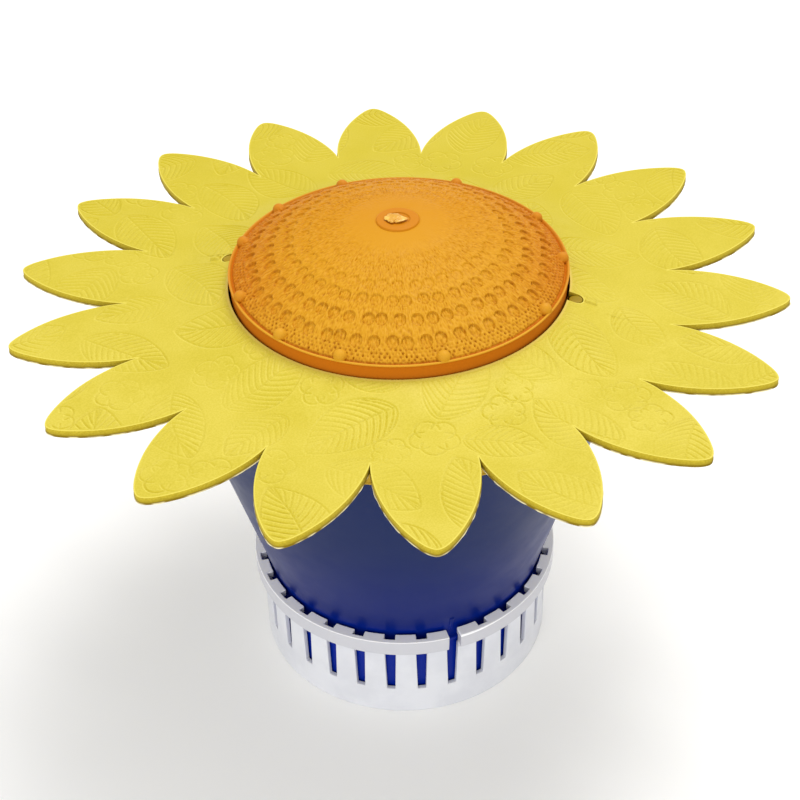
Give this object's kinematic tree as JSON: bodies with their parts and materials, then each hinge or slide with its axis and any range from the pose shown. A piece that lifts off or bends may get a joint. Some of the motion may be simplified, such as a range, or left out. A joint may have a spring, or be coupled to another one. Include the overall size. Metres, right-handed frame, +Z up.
{
  "type": "floating chlorine dispenser",
  "caption": "Sunflower-shaped floating tablet dispenser: petal sheet, domed bayonet cap, tapered canister and a turning slotted flow collar.",
  "frame": {"origin": "centre of the flow collar's foot, on the surface that the dispenser stands on", "axes": "+Z up along the common axis of cap, canister and collar; -Y towards the side that the picture shows"},
  "size_m": [0.3008, 0.3016, 0.2128],
  "materials": {
    "cap_plastic": "satin moulded orange, dimpled and hammered",
    "gasket_rubber": "matt black",
    "petal_foam": "embossed closed-cell foam sheet, satin yellow",
    "housing_plastic": "satin mustard yellow",
    "neck_plastic": "satin mustard yellow",
    "float_foam": "cut closed-cell foam, off-white",
    "canister_plastic": "glossy blue, slightly translucent",
    "grate_plastic": "glossy blue",
    "collar_plastic": "satin white"
  },
  "bodies": {
    "base": {"petal_sheet": "petal_foam", "float_housing": "housing_plastic", "neck_ring": "neck_plastic", "float_ring": "float_foam", "canister": "canister_plastic", "base_grate": "grate_plastic"},
    "gasket": {"cap_gasket": "gasket_rubber"},
    "cap": {"dome_cap": "cap_plastic"},
    "collar": {"flow_collar": "collar_plastic"}
  },
  "joints": [
    {"name": "cap_twist", "type": "hinge", "parent": "base", "child": "gasket", "pos_m": [0, 0, 0.1655], "axis": [0, 0, 1], "range_deg": [-36, 0]},
    {"name": "cap_lift", "type": "slide", "parent": "gasket", "child": "cap", "axis": [0, 0, 1], "range_m": [0, 0.12]},
    {"name": "collar_turn", "type": "hinge", "parent": "base", "child": "collar", "pos_m": [0, 0, 0.02], "axis": [0, 0, 1], "range_deg": [0, 6]}
  ]
}
